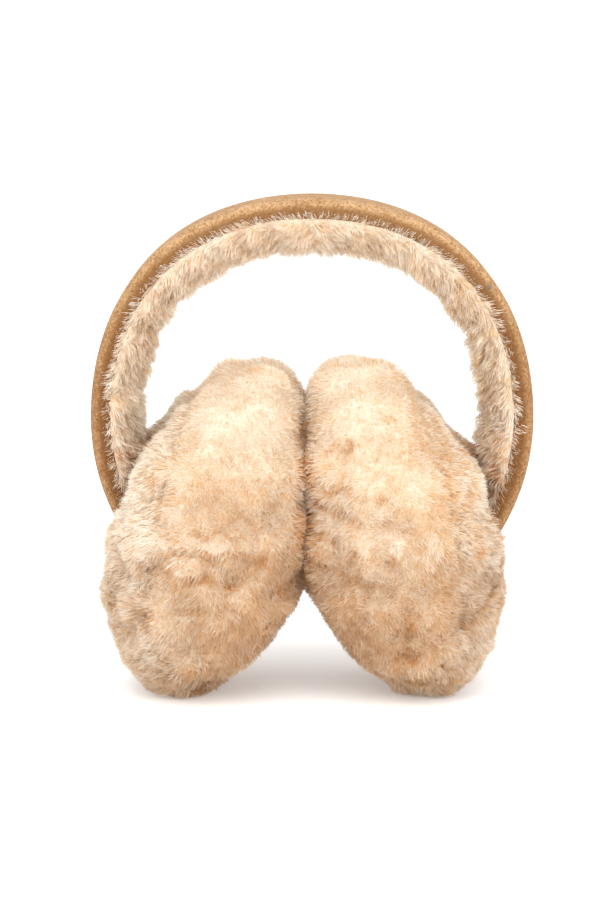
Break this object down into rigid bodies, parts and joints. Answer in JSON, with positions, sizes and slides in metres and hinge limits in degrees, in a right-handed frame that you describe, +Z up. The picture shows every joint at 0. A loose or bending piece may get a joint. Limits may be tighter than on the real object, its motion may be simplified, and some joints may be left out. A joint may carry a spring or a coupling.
{
  "type": "fur earmuffs",
  "caption": "Sheepskin earmuffs: a suede band lined with fur, bent into a hoop over fur pads that press together and stand on their undersides.",
  "frame": {"origin": "on the surface it stands on, under the middle of the hoop", "axes": "+Z up through the crown of the band, +X to the wearer's left as seen from the front, the front faces -Y"},
  "size_m": [0.1678, 0.1127, 0.191],
  "materials": {
    "suede": "napped suede, matt",
    "lining_fur": "deep sheared fleece",
    "pad_fur": "dense sheared fleece",
    "outer_fur": "long combed fleece"
  },
  "bodies": {
    "root": {"band_suede": "suede", "band_fur": "lining_fur", "left_ear_side_fur": "pad_fur", "left_outer_fur": "outer_fur", "right_ear_side_fur": "pad_fur", "right_outer_fur": "outer_fur"}
  },
  "joints": []
}
